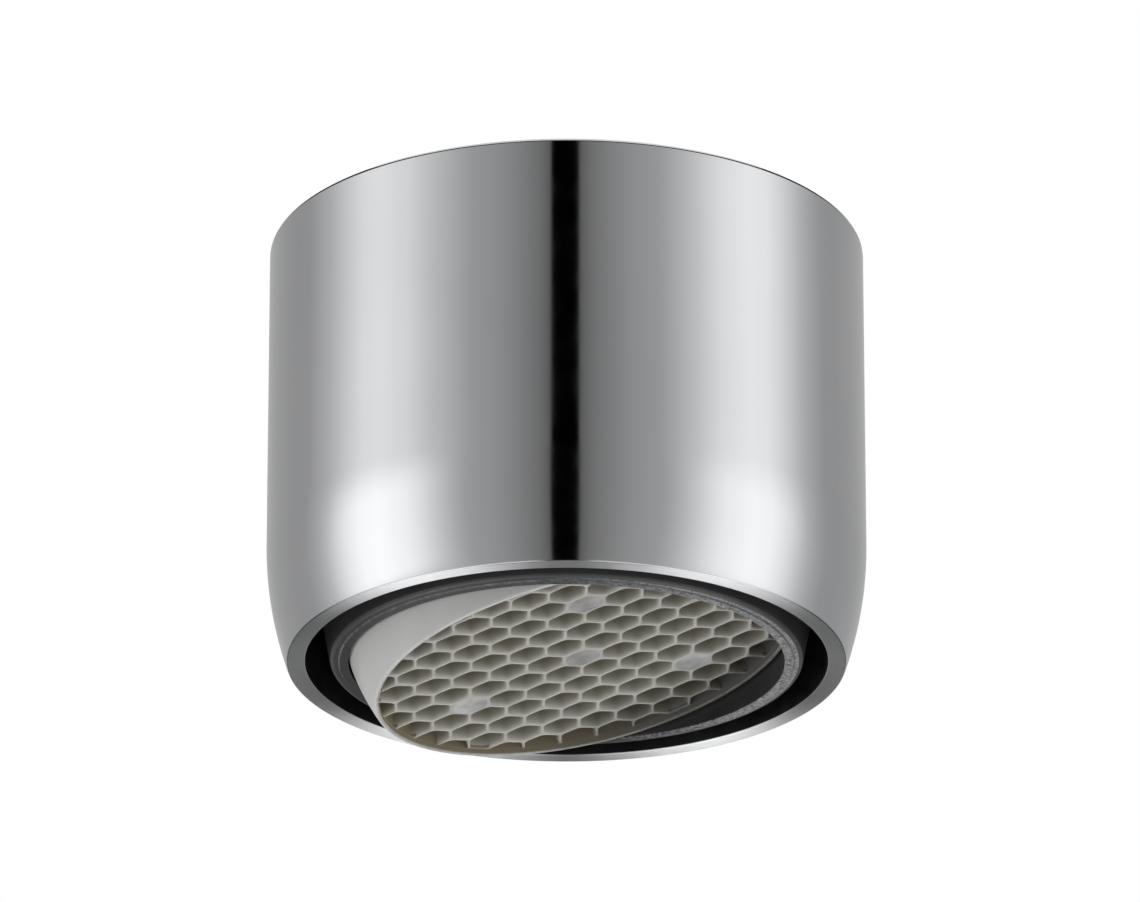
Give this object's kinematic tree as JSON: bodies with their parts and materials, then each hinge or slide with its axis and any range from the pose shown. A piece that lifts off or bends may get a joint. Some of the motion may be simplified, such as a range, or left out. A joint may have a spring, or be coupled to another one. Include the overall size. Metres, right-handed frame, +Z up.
{
  "type": "jet regulator",
  "caption": "Screw-on tap aerator: round chrome sleeve with a female spout thread and a honeycomb outlet that tilts in a ball socket.",
  "frame": {"origin": "centre of the spout seat, the upper face of the sealing washer at the lower end of the spout thread", "axes": "+Z up along the thread, out of its mouth towards the tap; the outlet is tilted towards +X at rest"},
  "size_m": [0.024, 0.024, 0.0195],
  "materials": {
    "chrome_plate": "polished chrome over brass",
    "washer_rubber": "smooth black rubber",
    "screen_plastic": "fine moulded plastic",
    "insert_plastic": "fine moulded plastic",
    "socket_plastic": "spark-eroded satin",
    "seat_rubber": "smooth black rubber",
    "cup_plastic": "satin moulded plastic"
  },
  "bodies": {
    "sleeve": {"housing": "chrome_plate", "sealing_washer": "washer_rubber", "inlet_screen": "screen_plastic", "jet_splitter": "insert_plastic", "ball_socket": "socket_plastic"},
    "swivel": {"seat_ring": "seat_rubber"},
    "outlet": {"outlet_cup": "cup_plastic", "mixing_grid_lower": "insert_plastic", "mixing_grid_upper": "insert_plastic"}
  },
  "joints": [
    {"name": "outlet_swivel", "type": "hinge", "parent": "sleeve", "child": "swivel", "pos_m": [0, 0, -0.0084], "axis": [0, 0, 1], "continuous": true},
    {"name": "outlet_tilt", "type": "hinge", "parent": "swivel", "child": "outlet", "pos_m": [0, 0, -0.0084], "axis": [0, -1, 0], "range_deg": [-25.4, 0]}
  ]
}
